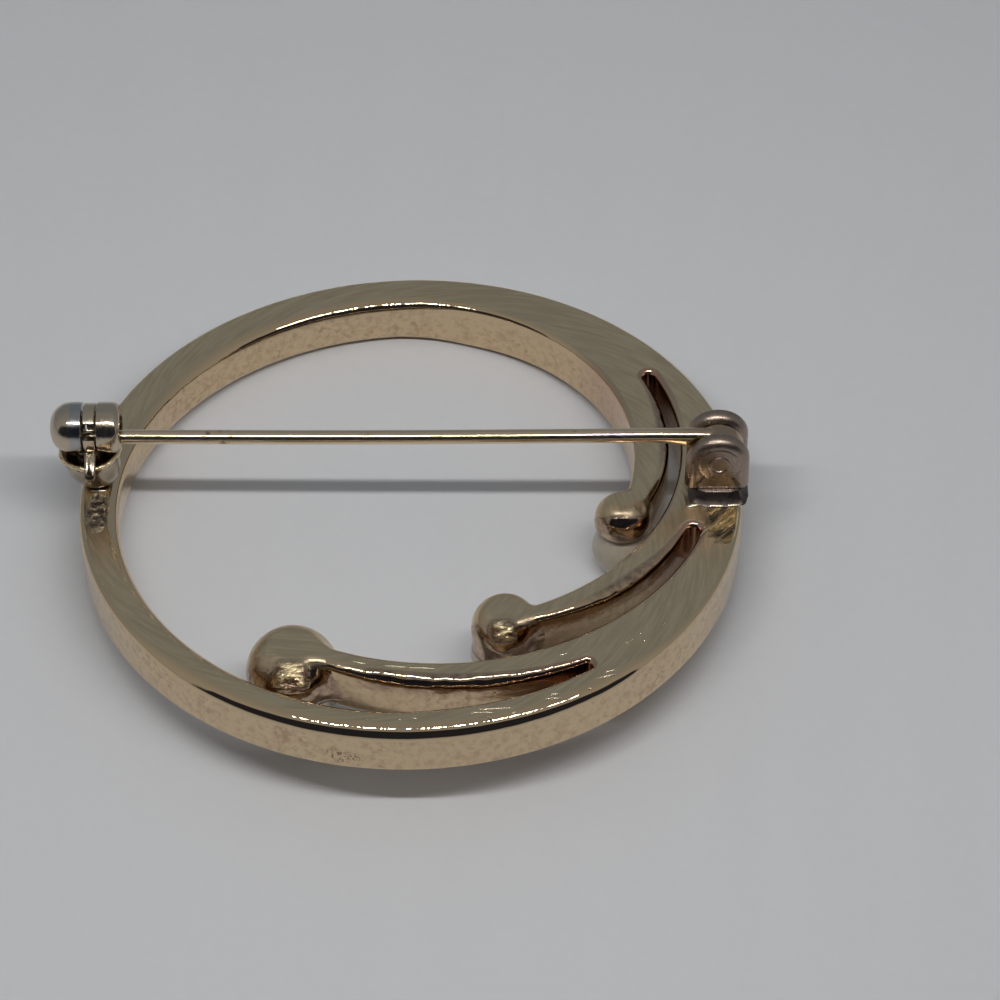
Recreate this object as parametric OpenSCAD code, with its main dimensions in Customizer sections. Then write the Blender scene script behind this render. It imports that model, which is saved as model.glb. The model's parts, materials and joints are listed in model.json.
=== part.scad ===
// Openwork circle brooch lying on its front, in millimetres.
// The pieces are drawn in the brooch's own frame, with the flat back of the ring at z = 0,
// +Z out of the back and the pin along X, and lying() sets them down on the table.

/* [Ring] */
// Outside diameter of the ring
ring_od = 35; // [34:0.25:37]
// Thickness of the ring from front to back
ring_t = 2.8; // [2.6:0.1:3.2]
// Radius of the open middle
opening_r = 15.5; // [15.4:0.02:15.5]
// Rounding of the ring's outer edge at the back
outer_back_round = 0.75; // [0.4:0.05:0.9]
// Rounding of the inner edges at the back
back_round = 0.36; // [0.2:0.02:0.4]
// Rounding of all edges at the front
front_round = 0.2; // [0.1:0.05:0.4]

/* [Cups and pearls] */
// Outside radius of the cup at the tip of stem 1
cup1_r = 1.47; // [1.3:0.01:1.6]
// Outside radius of the cup at the tip of stem 2
cup2_r = 1.75; // [1.6:0.01:1.9]
// Outside radius of the cup at the tip of stem 3
cup3_r = 2.4; // [2.2:0.01:2.5]
// How far the balls of the cups would stand proud of the flat back
cup_rise = 0.35; // [0.1:0.05:0.5]
// Height above the back at which the balls are filed flat
filed_z = 0.06; // [0.02:0.02:0.3]
// Radius of the small pearl
pearl1_r = 1.6; // [1.5:0.05:1.7]
// Radius of the medium pearl
pearl2_r = 1.8; // [1.75:0.05:1.9]
// Radius of the large pearl
pearl3_r = 2.4; // [2.35:0.05:2.5]
// Gap between a pearl and its cup
pearl_gap = 0.06; // [0.05:0.01:0.12]
// Radius of the peg that holds a pearl
peg_r = 0.3; // [0.25:0.05:0.4]

/* [Pin] */
// Diameter of the pin wire
pin_d = 0.76; // [0.7:0.02:0.84]
// Height of the pin's axis above the flat back
pin_z = 3.29; // [3.2:0.01:3.35]
// Length of the tapered point
point_len = 1.8; // [1:0.1:3]

/* [Hinge] */
// Height of the rivet's axis above the flat back
rivet_z = 2.33; // [2.25:0.01:2.4]
// Radius of the two ears
ear_r = 1.55; // [1.5:0.01:1.6]
// Length of the hinge block across the ears
ear_span = 2.62; // [2.5:0.02:2.8]
// Width of the slot between the ears
ear_slot = 1.18; // [1.1:0.02:1.3]
// Radius of the rivet
rivet_r = 0.5; // [0.45:0.01:0.5]

/* [Catch] */
// Radius of the barrel
barrel_r = 1.34; // [1.3:0.01:1.4]
// Length of the barrel
barrel_len = 3.68; // [3.6:0.02:3.8]
// Radius of the channel that the pin lies in
channel_r = 0.95; // [0.94:0.01:1]
// Thickness of the turning roller
roller_t = 0.62; // [0.55:0.01:0.65]
// Gap on each side of the roller
roller_gap = 0.09; // [0.06:0.01:0.1]
// Length of the thumb tab from the roller's axis
tab_reach = 2.9; // [2.5:0.05:3]
// Radius of the flange under the barrel
flange_r = 1.6; // [1.4:0.02:1.6]

/* [Hidden] */
$fn = 64;
gold = "#b59a6c";
solder = "#c9a24b";
steel = "#8d8f94";
cream = "#d9d2bd";
ring_r = ring_od / 2;
opening_at = [0.1, -0.25];
skin = 0.02;       // overlap that joins touching solids
cup_lip = 0.44;    // the rim of a cup lies this far below its middle
drum_r = 1.72;     // the second cup goes on down as a drum
drum_z = -2.67;

// Walls of the stems, each an arc seen from the back. Columns: centre x, centre y, radius
CX = 0; CY = 1; RAD = 2;
stem_inner = [[-0.39, 3.08, 12.2], [1.2, 3.67, 13.15], [1.64, 2.01, 14.47]];
stem_outer = [[3.09, 4.14, 10.65], [3.37, 2.2, 12.17], [2.3, 2.11, 16.1]];
// Where each stem and the web behind it begin and end, seen from the ring's middle
stem_span = [[-4, 40], [-59, -4], [-114, -50]];
web_span = [[37, 92], [-10, 38], [-53.5, -9]];
// Round end of the slot beside each stem. Columns: x, y, radius
slot_ends = [[12.75, 9.15, 0.45], [14.75, -2.95, 0.45], [9.25, -13.2, 0.75]];
web_edge = 0.9;      // the webs stop this far inside the ring's outer edge
// The layers that make a rounded edge. For a rounding of 1: depth below the face, thickness
// and the middle of a layer. How far the outline is drawn in at a depth below the face
round_steps = 3;
function depth_at(k) = 1 - cos(90 * k / round_steps);
function layer_t(k) = depth_at(k + 1) - depth_at(k);
function middle_at(k) = depth_at(k) + layer_t(k) / 2;
function inset_at(round, depth) = depth >= round ? 0 : round - sqrt(round * round - pow(round - depth, 2));

// Cups. Columns: x, y
cup1_at = [11.16, -1.02];
cup2_at = [5.01, -8.74];
cup3_at = [-5.82, -11.26];
cup1_z = cup_rise - cup1_r;
cup2_z = cup_rise - cup2_r;
cup3_z = cup_rise - cup3_r;
// Height of each pearl's middle, and of its flat top inside the cup
pearl1_z = -3.07; pearl1_flat = -1.66;
pearl2_z = -3.25; pearl2_flat = -2.76;
pearl3_z = -2.9; pearl3_flat = -2.58;
drill_depth = 1.3;

pin_r = pin_d / 2;
pin_y = 0.74;
rivet_x = 16.2;
pin_tip_x = -17.75;
eye_t = 0.9;
eye_r = pin_z - rivet_z + pin_r;
bore_r = rivet_r + 0.05;
ear_t = (ear_span - ear_slot) / 2;
plate = [3.1, 4.1, 0.4];   // the hinge's base plate
neck_w = 1.8;

barrel_x = -16.95; barrel_y = 0.97; barrel_z = 3.74;
foot_at = [-16.7, 1];
flange_at = [-16.89, 1];
roller_x = -16.7;
roller_r = barrel_r - 0.05;
round_left = 1.1; round_right = 0.5;
mouth_angle = 20;    // the mouth of the cheeks faces the far side
gap_angle = 150;     // the roller's gap faces the near side while locked
tab_angle = -146;
mouth_w = 1.0;
flange_z = 1.98; flange_t = 0.2; foot_r = 0.72;
catch_neck_r = 0.85;

// How the brooch lies: on the small pearl, the large pearl and the ring's far left edge.
// The table seen from the brooch is z = z0 + g.x * x + g.y * y
edge_r = ring_r - inset_at(front_round, front_round * middle_at(0));
function stretch(g) = sqrt(1 + g * g);
function touch_pearl(at, z, r, g) = [at.x, at.y, z - r * stretch(g)];
function touch_ring(g) = concat(g / norm(g) * edge_r, -ring_t);
function slope_of(a, b, c) = let (n = cross(b - a, c - a)) [-n.x / n.z, -n.y / n.z];
function table_slope(g, tries) = tries == 0 ? g : table_slope(slope_of(
    touch_pearl(cup1_at, pearl1_z, pearl1_r, g),
    touch_pearl(cup3_at, pearl3_z, pearl3_r, g), touch_ring(g)), tries - 1);
slope = table_slope([-0.05, 0.09], 8);
up = [-slope.x, -slope.y, 1] / stretch(slope);
lean = acos(up.z);
lean_axis = cross(up, [0, 0, 1]);
lift = -(up * touch_pearl(cup1_at, pearl1_z, pearl1_r, slope));
// From the ring's middle to the middle of the outline as it lies
outline_mid = [-0.5545, -0.1504];

module lying() {
    translate([-outline_mid.x, -outline_mid.y, lift])
        rotate(a = lean, v = lean_axis)
            children();
}

// A wedge seen from the ring's middle
module sector(from, to) {
    far = 2 * ring_r;
    mid = (from + to) / 2;
    polygon([[0, 0], far * [cos(from), sin(from)], far * [cos(mid), sin(mid)],
             far * [cos(to), sin(to)]]);
}

// Outline of a stem between its two walls, drawn in by d
module stem_plan(inner, outer, span, d) {
    intersection() {
        difference() {
            translate([outer[CX], outer[CY]]) circle(outer[RAD] - d);
            translate([inner[CX], inner[CY]]) circle(inner[RAD] + d);
        }
        sector(span[0], span[1]);
    }
}

// Outline of the metal between a stem's inner wall and the ring, past the end of its slot
module web_plan(inner, span, slot_end, d) {
    difference() {
        intersection() {
            circle(ring_r - web_edge);
            sector(span[0], span[1]);
        }
        translate([inner[CX], inner[CY]]) circle(inner[RAD] + d);
        translate([slot_end.x, slot_end.y]) circle(slot_end.z + d);
    }
}

// Outline of the openwork, drawn in by d, and by outer_d at the ring's outer edge
module openwork_plan(d, outer_d) {
    difference() {
        circle(ring_r - outer_d);
        translate([opening_at.x, opening_at.y]) circle(opening_r + d);
    }
    for (s = [0:2]) {
        stem_plan(stem_inner[s], stem_outer[s], stem_span[s], d);
        web_plan(stem_inner[s], web_span[s], slot_ends[s], d);
    }
}

module openwork() {
    translate([0, 0, -ring_t + front_round])
        linear_extrude(ring_t - front_round - outer_back_round) openwork_plan(0, 0);
    for (k = [0:round_steps - 1]) {
        front_d = inset_at(front_round, front_round * middle_at(k));
        back_depth = outer_back_round * middle_at(k);
        translate([0, 0, -ring_t + front_round * depth_at(k)])
            linear_extrude(front_round * layer_t(k) + skin) openwork_plan(front_d, front_d);
        translate([0, 0, -outer_back_round * depth_at(k + 1) - skin])
            linear_extrude(outer_back_round * layer_t(k) + skin)
                openwork_plan(inset_at(back_round, back_depth), inset_at(outer_back_round, back_depth));
    }
}

// A ball filed flat just above the back, with its rim over the pearl
module cup(at, z, r) {
    translate([at.x, at.y, z])
        intersection() {
            sphere(r);
            translate([-r, -r, -cup_lip]) cube([2 * r, 2 * r, cup_lip + filed_z - z]);
        }
}

// The room that a pearl takes, or the pearl itself with no gap
module pearl_form(at, z, flat, r, gap = 0) {
    translate([at.x, at.y, z])
        intersection() {
            sphere(r + gap);
            translate([-r - 1, -r - 1, -r - 1]) cube([2 * r + 2, 2 * r + 2, r + 1 + flat + gap - z]);
        }
}

module peg(at, flat) {
    translate([at.x, at.y, flat - drill_depth + 0.15]) cylinder(drill_depth + 0.4, r = peg_r);
}

module drill(at, flat) {
    translate([at.x, at.y, flat - drill_depth]) cylinder(drill_depth + 1, r = peg_r + pearl_gap);
}

// The hinge block, soldered on at the right
module ear(side) {
    outer = side * ear_span / 2;
    bevel = 0.28;
    translate([rivet_x, pin_y + outer, rivet_z])
        rotate([side * 90, 0, 0]) {
            cylinder(bevel + skin, r1 = ear_r - bevel, r2 = ear_r);
            translate([0, 0, bevel]) cylinder(ear_t - bevel, r = ear_r);
        }
    translate([rivet_x - neck_w / 2, pin_y + min(outer, outer - side * ear_t), skin])
        cube([neck_w, ear_t, rivet_z - ear_r / 2]);
}

module hinge_block() {
    difference() {
        union() {
            translate([rivet_x, pin_y, -skin])
                intersection() {
                    cylinder(plate.z, r = plate.y / 2);
                    translate([-plate.x / 2, -plate.y / 2, 0]) cube(plate);
                }
            ear(1);
            ear(-1);
            translate([rivet_x - neck_w / 2, pin_y - ear_slot / 2 - skin, skin])
                cube([neck_w, ear_slot + 2 * skin, 0.6]);
        }
        translate([rivet_x, pin_y + ear_span, rivet_z])
            rotate([90, 0, 0]) cylinder(2 * ear_span, r = bore_r);
    }
}

// The catch case, soldered on at the left
module barrel_outline() {
    half = barrel_len / 2;
    intersection() {
        union() {
            translate([0, -half + round_left])
                square([barrel_r, barrel_len - round_left - round_right]);
            translate([0, -half]) square([barrel_r - round_left, round_left]);
            translate([0, half - round_right - skin])
                square([barrel_r - round_right, round_right + skin]);
            translate([barrel_r - round_left, -half + round_left]) circle(round_left);
            translate([barrel_r - round_right, half - round_right]) circle(round_right);
        }
        translate([0, -half]) square([barrel_r, barrel_len]);
    }
}

module catch_case() {
    translate([foot_at.x, foot_at.y, -skin])
        cylinder(flange_z + 2 * skin, r1 = foot_r, r2 = flange_r - 0.22);
    translate([flange_at.x, flange_at.y, flange_z]) cylinder(flange_t, r = flange_r);
    difference() {
        union() {
            translate([barrel_x, barrel_y, barrel_z])
                rotate([0, 90, 0]) rotate_extrude() barrel_outline();
            translate([barrel_x + 0.15, barrel_y + 0.1, flange_z + flange_t - skin])
                cylinder(barrel_z - flange_z - flange_t - channel_r, r = catch_neck_r);
        }
        translate([roller_x - roller_t / 2 - roller_gap, barrel_y, barrel_z])
            rotate([0, 90, 0]) cylinder(roller_t + 2 * roller_gap, r = barrel_r + 0.06);
        translate([barrel_x - 0.95, barrel_y, barrel_z])
            rotate([0, 90, 0]) cylinder(barrel_len, r = channel_r);
        translate([barrel_x - 0.95, barrel_y, barrel_z])
            rotate([mouth_angle, 0, 0])
                translate([0, 0, -mouth_w / 2]) cube([barrel_len, 2 * barrel_r, mouth_w]);
    }
}

module frame() {
    difference() {
        union() {
            color(gold) openwork();
            color(gold) cup(cup1_at, cup1_z, cup1_r);
            color(gold) cup(cup2_at, cup2_z, cup2_r);
            color(gold) cup(cup3_at, cup3_z, cup3_r);
            color(gold) translate([cup2_at.x, cup2_at.y, drum_z]) cylinder(cup2_z - drum_z, r = drum_r);
        }
        pearl_form(cup1_at, pearl1_z, pearl1_flat, pearl1_r, pearl_gap);
        pearl_form(cup2_at, pearl2_z, pearl2_flat, pearl2_r, pearl_gap);
        pearl_form(cup3_at, pearl3_z, pearl3_flat, pearl3_r, pearl_gap);
    }
    color(gold) peg(cup1_at, pearl1_flat);
    color(gold) peg(cup2_at, pearl2_flat);
    color(gold) peg(cup3_at, pearl3_flat);
    color(solder) hinge_block();
    color(steel) catch_case();
}

module pearl(at, z, flat, r) {
    color(cream)
        difference() {
            pearl_form(at, z, flat, r);
            drill(at, flat);
        }
}

// A tube whose ends are spread a little over the ears
module hinge_rivet() {
    head_t = 0.12;
    head_r = rivet_r + 0.12;
    over = ear_span / 2 + 0.05;
    color(gold)
        translate([rivet_x, pin_y, rivet_z])
            rotate([90, 0, 0])
                difference() {
                    union() {
                        cylinder(2 * (over + head_t), r = rivet_r, center = true);
                        translate([0, 0, over]) cylinder(head_t, r = head_r);
                        translate([0, 0, -over - head_t]) cylinder(head_t, r = head_r);
                    }
                    cylinder(4 * ear_span, r = 0.26, center = true);
                }
}

module pin_stem() {
    shaft_len = rivet_x - pin_tip_x - point_len;
    tongue = [[0, eye_r], [-3.2, eye_r - pin_r], [-2.6, eye_r - 2 * pin_r - 0.1],
              [-eye_r + 0.1, 0], [0, 0]];
    color(gold)
        difference() {
            union() {
                translate([rivet_x, pin_y, pin_z])
                    rotate([0, -90, 0]) cylinder(shaft_len, r = pin_r);
                translate([pin_tip_x + point_len, pin_y, pin_z])
                    rotate([0, -90, 0]) cylinder(point_len, r1 = pin_r, r2 = 0.08);
                translate([rivet_x, pin_y + eye_t / 2, rivet_z])
                    rotate([90, 0, 0]) cylinder(eye_t, r = eye_r);
                translate([rivet_x, pin_y + pin_r - 0.05, rivet_z])
                    rotate([90, 0, 0]) linear_extrude(pin_d - 0.1) polygon(tongue);
            }
            translate([rivet_x, pin_y + eye_t, rivet_z])
                rotate([90, 0, 0]) cylinder(2 * eye_t, r = bore_r);
        }
}

// A C-shaped disc. Turned back, its gap meets the mouth of the cheeks and lets the pin out
module catch_roller() {
    tab_w = roller_t - 0.06;
    tab_t = 0.42;
    color(steel)
        translate([roller_x, barrel_y, barrel_z])
            difference() {
                union() {
                    rotate([0, 90, 0]) cylinder(roller_t, r = roller_r, center = true);
                    rotate([tab_angle, 0, 0]) {
                        translate([-tab_w / 2, channel_r + 0.1, -tab_t / 2])
                            cube([tab_w, tab_reach - channel_r - 0.1 - tab_w / 2, tab_t]);
                        translate([0, tab_reach - tab_w / 2, 0])
                            cylinder(tab_t, r = tab_w / 2, center = true);
                    }
                }
                rotate([0, 90, 0]) cylinder(2 * roller_t, r = channel_r, center = true);
                rotate([gap_angle, 0, 0])
                    translate([-roller_t, 0, -mouth_w / 2])
                        cube([2 * roller_t, 2 * roller_r, mouth_w]);
            }
}

lying() frame();
lying() pearl(cup1_at, pearl1_z, pearl1_flat, pearl1_r);  // pearl_small
lying() pearl(cup2_at, pearl2_z, pearl2_flat, pearl2_r);  // pearl_medium
lying() pearl(cup3_at, pearl3_z, pearl3_flat, pearl3_r);  // pearl_large
lying() hinge_rivet();
lying() pin_stem();
lying() catch_roller();
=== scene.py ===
import json
import math

import bpy
import numpy as np
from mathutils import Matrix
from mathutils.geometry import delaunay_2d_cdt


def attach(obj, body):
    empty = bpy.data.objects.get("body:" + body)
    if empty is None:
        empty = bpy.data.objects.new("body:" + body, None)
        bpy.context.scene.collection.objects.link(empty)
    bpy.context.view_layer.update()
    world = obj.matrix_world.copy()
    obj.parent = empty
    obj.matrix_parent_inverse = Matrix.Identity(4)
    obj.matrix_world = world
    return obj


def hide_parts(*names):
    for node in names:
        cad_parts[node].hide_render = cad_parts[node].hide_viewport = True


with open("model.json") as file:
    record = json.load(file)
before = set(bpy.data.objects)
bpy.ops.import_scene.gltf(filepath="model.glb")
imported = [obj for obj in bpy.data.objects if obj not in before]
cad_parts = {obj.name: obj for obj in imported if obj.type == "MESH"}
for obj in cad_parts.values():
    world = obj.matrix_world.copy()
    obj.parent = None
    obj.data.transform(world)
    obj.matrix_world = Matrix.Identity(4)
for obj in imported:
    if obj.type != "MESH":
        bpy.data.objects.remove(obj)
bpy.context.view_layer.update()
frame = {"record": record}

# The pieces are drawn in the brooch's own frame, in millimetres: the flat back is z = 0, +Z points
# out of the back and the pin runs along X. layDown() sets them on the table as the solids lie,
# from the two joints that the record gives.
joints = {j["name"]: j for j in frame["record"]["behaviour"]["joints"]}
rivetAt = np.array([16.2, 0.74, 2.33])
pinWay = -np.array(joints["catch_turn"]["axis"])
hingeWay = np.array(joints["pin_swing"]["axis"])
turned = np.stack([pinWay, hingeWay, np.cross(pinWay, hingeWay)], 1)
moved = np.array(joints["pin_swing"]["pos_m"]) - turned @ rivetAt / 1000


def layDown(points):  # brooch millimetres to metres on the table
    return np.asarray(points, float) @ turned.T / 1000 + moved


def allRound(count):  # angles round a full turn
    return np.linspace(0, 2 * math.pi, count, endpoint=False)


def gridFaces(rows, columns, first=0):  # quads between the closed rows of a grid of points
    r, c = np.meshgrid(np.arange(rows - 1), np.arange(columns), indexing="ij")
    d = (c + 1) % columns
    return (first + np.stack([r * columns + c, r * columns + d, (r + 1) * columns + d,
                              (r + 1) * columns + c], -1)).reshape(-1, 4)


def fanFaces(ring, centre, flip=False):  # triangles from a ring of points to one point
    after = np.roll(ring, -1)
    middle = np.full(len(ring), centre)
    return np.stack([after, ring, middle] if flip else [ring, after, middle], -1)


def tubeFaces(rows, columns, flip=False):  # a grid with a fan at each end, to the last two points
    n = rows * columns
    quads = gridFaces(rows, columns)
    return [quads[:, ::-1] if flip else quads, fanFaces(np.arange(columns), n, not flip),
            fanFaces(np.arange(columns) + n - columns, n + 1, flip)]


def joinParts(parts):  # several (points, [faces, ...]) become one
    points, faces, first = [], [], 0
    for partPoints, partFaces in parts:
        points.append(np.reshape(partPoints, (-1, 3)))
        faces += [f + first for f in partFaces]
        first += len(points[-1])
    return np.concatenate(points), faces


def addObject(name, data, axes=None, place=None):
    item = bpy.data.objects.new(name, data)
    if axes is not None:
        matrix = np.eye(4)
        matrix[:3, :3], matrix[:3, 3] = axes, place
        item.matrix_world = Matrix(matrix.tolist())
    bpy.context.scene.collection.objects.link(item)
    return item


def addPiece(name, part, material, crease=40, node=None, values=None, body="brooch"):
    points, faces = part
    mesh = bpy.data.meshes.new(name)
    mesh.from_pydata(layDown(points).tolist(), [], [f for group in faces for f in group.tolist()])
    mesh.validate()
    mesh.shade_smooth()
    mesh.set_sharp_from_angle(angle=math.radians(crease))
    for key, data in (values or {}).items():
        mesh.attributes.new(key, "FLOAT", "POINT").data.foreach_set("value", data.astype(np.float32))
    mesh.materials.append(material)
    piece = addObject(name, mesh)
    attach(piece, body)
    if node:
        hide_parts(node)
    print("made", name, len(points), "points")


# Shader helpers

def addNode(tree, kind, sockets=None, **settings):  # sockets are linked to a socket or set to a value
    node = tree.nodes.new("ShaderNode" + kind)
    for key, value in settings.items():
        setattr(node, key, value)
    for key, value in (sockets or {}).items():
        if isinstance(value, bpy.types.NodeSocket):
            tree.links.new(value, node.inputs[key])
        else:
            node.inputs[key].default_value = value
    return node.outputs


def treeOf(*values):  # the tree of the first socket among them
    return next(value.id_data for value in values if isinstance(value, bpy.types.NodeSocket))


def mathNode(operation, a, b=0.5, clamp=False):
    return addNode(treeOf(a, b), "Math", {0: a, 1: b}, operation=operation, use_clamp=clamp)[0]


def plus(a, b):
    return mathNode("ADD", a, b)


def minus(a, b, clamp=False):
    return mathNode("SUBTRACT", a, b, clamp)


def times(a, b, clamp=False):
    return mathNode("MULTIPLY", a, b, clamp)


def rampNode(value, low, high, to=(0.0, 1.0)):  # a value between low and high runs over "to"
    return addNode(value.id_data, "MapRange", {"Value": value, "From Min": low, "From Max": high,
                                               "To Min": to[0], "To Max": to[1]})[0]


def mixColour(factor, a, b):
    return addNode(treeOf(factor, a, b), "Mix", {0: factor, 6: a, 7: b}, data_type="RGBA")[2]


def noiseNode(place, scale, detail, roughness=0.5):
    return addNode(place.id_data, "TexNoise", {"Vector": place, "Scale": scale, "Detail": detail,
                                               "Roughness": roughness})[0]


def turnPlace(place, degrees):
    return addNode(place.id_data, "Mapping", {"Vector": place, "Rotation": (0, 0, math.radians(degrees))})[0]


def newGroup(name, inputs, outputs):  # inputs with their values, a place has none
    tree = bpy.data.node_groups.new(name, "ShaderNodeTree")
    for label, value in inputs.items():
        kind = "NodeSocketFloat" if isinstance(value, float) else "NodeSocketVector"
        socket = tree.interface.new_socket(label, in_out="INPUT", socket_type=kind)
        if value is not None:
            socket.default_value = value
    for label, kind in outputs.items():
        tree.interface.new_socket(label, in_out="OUTPUT", socket_type="NodeSocket" + kind)
    return tree, tree.nodes.new("NodeGroupInput").outputs, tree.nodes.new("NodeGroupOutput").inputs


def useGroup(tree, group, sockets):
    return addNode(tree, "Group", sockets, node_tree=group)


def makeFileMarks():  # long thin noise: fine lines along Y with a few deep ones among them
    tree, given, out = newGroup("fileMarks", {"Vector": None, "Lines": 12.0, "Stretch": 14.0},
                                {"Height": "Float", "Deep": "Float"})
    lines = given["Lines"]
    along = mathNode("DIVIDE", lines, given["Stretch"])
    across = addNode(tree, "CombineXYZ", {0: lines, 1: along, 2: lines})[0]
    spread = addNode(tree, "VectorMath", {0: given["Vector"], 1: across}, operation="MULTIPLY")[0]
    fine = noiseNode(spread, 1.0, 3.0, 0.6)
    deep = rampNode(noiseNode(spread, 0.37, 1.0), 0.6, 0.68)
    tree.links.new(minus(fine, times(deep, 0.35)), out["Height"])
    tree.links.new(deep, out["Deep"])
    return tree


def makeSpeckle():  # dark specks of tarnish, gathered in clouds
    tree, given, out = newGroup("speckle", {"Vector": None, "Size": 0.3, "Amount": 0.5}, {"Mask": "Float"})
    scale = mathNode("DIVIDE", 1.0, given["Size"])
    grain = noiseNode(given["Vector"], scale, 2.0)
    cloud = noiseNode(given["Vector"], times(scale, 0.12), 2.0)
    edge = rampNode(given["Amount"], 0.0, 1.0, (0.72, 0.42))
    both = plus(times(grain, 0.62), times(cloud, 0.38))
    tree.links.new(times(minus(both, edge), 14.0, clamp=True), out["Mask"])
    return tree


def makeRound():  # a place as (distance from the middle, way round, height)
    tree, given, out = newGroup("roundPlace", {"Vector": None, "Radius": 16.0}, {"Vector": "Vector"})
    x, y, z = addNode(tree, "SeparateXYZ", {0: given["Vector"]})
    flat = addNode(tree, "CombineXYZ", {0: x, 1: y})[0]
    far = addNode(tree, "VectorMath", {0: flat}, operation="LENGTH")["Value"]
    along = times(mathNode("ARCTAN2", y, x), given["Radius"])
    tree.links.new(addNode(tree, "CombineXYZ", {0: far, 1: along, 2: z})[0], out["Vector"])
    return tree


def makeSpot():  # 1 inside a ragged oval round a place, 0 outside
    tree, given, out = newGroup("spot", {"Vector": None, "Centre": (0, 0, 0), "Size": (1, 1, 1), "Ragged": 0.5},
                                {"Mask": "Float"})
    away = addNode(tree, "VectorMath", {0: given["Vector"], 1: given["Centre"]}, operation="SUBTRACT")[0]
    away = addNode(tree, "VectorMath", {0: away, 1: given["Size"]}, operation="DIVIDE")[0]
    far = addNode(tree, "VectorMath", {0: away}, operation="LENGTH")["Value"]
    grain = noiseNode(given["Vector"], 3.0, 3.0)
    ragged = times(minus(grain, 0.5), given["Ragged"])
    tree.links.new(rampNode(plus(far, ragged), 1.1, 0.8), out["Mask"])
    return tree


fileMarks = makeFileMarks()
speckle = makeSpeckle()
roundPlace = makeRound()
spot = makeSpot()


def onTable(x, y, z=0.0):  # a place in the brooch's frame as object coordinates in millimetres
    return tuple(layDown([x, y, z]) * 1000)


def newMaterial(name, **sockets):  # Principled BSDF with fixed values, and object coordinates in millimetres
    material = bpy.data.materials.new(name)
    material.use_nodes = True
    tree = material.node_tree
    shader = tree.nodes["Principled BSDF"]
    for key, value in sockets.items():
        shader.inputs[key.replace("_", " ")].default_value = value
    place = addNode(tree, "TexCoord")["Object"]
    place = addNode(tree, "Mapping", {"Vector": place, "Scale": (1000, 1000, 1000)})[0]

    def link(value, name):
        tree.links.new(value, shader.inputs[name])
    return material, tree, link, place


def bumpNode(height, strength, depth, normal=None):  # the depth in millimetres
    sockets = {"Height": height, "Strength": strength, "Distance": depth / 1000}
    if normal:
        sockets["Normal"] = normal
    return addNode(height.id_data, "Bump", sockets)[0]


goldLook = {
    # The filed and solder golds paint highlights; copper paints reflection in the slots, brown the dark
    # reflection on stems and cups; pits and tarnish also paint shade
    "metal": (0.70, 0.54, 0.35, 1), "satin": (0.78, 0.62, 0.40, 1), "filed": (1.0, 0.80, 0.47, 1),
    "tarnishAndShade": (0.34, 0.22, 0.15, 1), "paintedSlotReflection": (0.46, 0.27, 0.21, 1), "solder": (0.98, 0.68, 0.28, 1),
    "pitsAndShade": (0.12, 0.085, 0.065, 1), "brushed": (0.52, 0.40, 0.25, 1), "paintedDarkReflection": (0.27, 0.185, 0.155, 1),
    # Roughness of the polished edges, and what the other surfaces add to it
    "polish": 0.02, "wallRough": (0.08, 0.2), "satinRough": 0.28, "patchRough": 0.2, "solderRough": 0.1,
    # Lines per millimetre, how much longer than broad, and the slant in degrees
    "marks": (5.0, 18.0, -14), "strokes": (3.0, 4.0, 74), "scrapes": (2.6, 5.0, 40),
    # Depth of the relief in millimetres
    "markDepth": 0.05, "strokeDepth": 0.42, "scrapeDepth": 0.8, "holeDepth": 0.6, "waveDepth": 0.11,
    "grainDepth": 0.03,
    # Spots: middle, half size and raggedness
    "hingeSolder": ((16.45, -2.45), (0.95, 1.5, 2), 1.2), "catchSolder": ((-16.43, -1.55), (0.6, 1.35, 2), 0.8),
    # the notch spot is painted shade at the base of the catch's foot, on the viewer's side
    "catchFootShade": ((-16.53, 0.44), (0.6, 0.3, 1), 0.5), "wallPits": ((-3.05, -17.21, -1.90), (0.95, 0.9, 0.5), 1.2),
}


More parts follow.
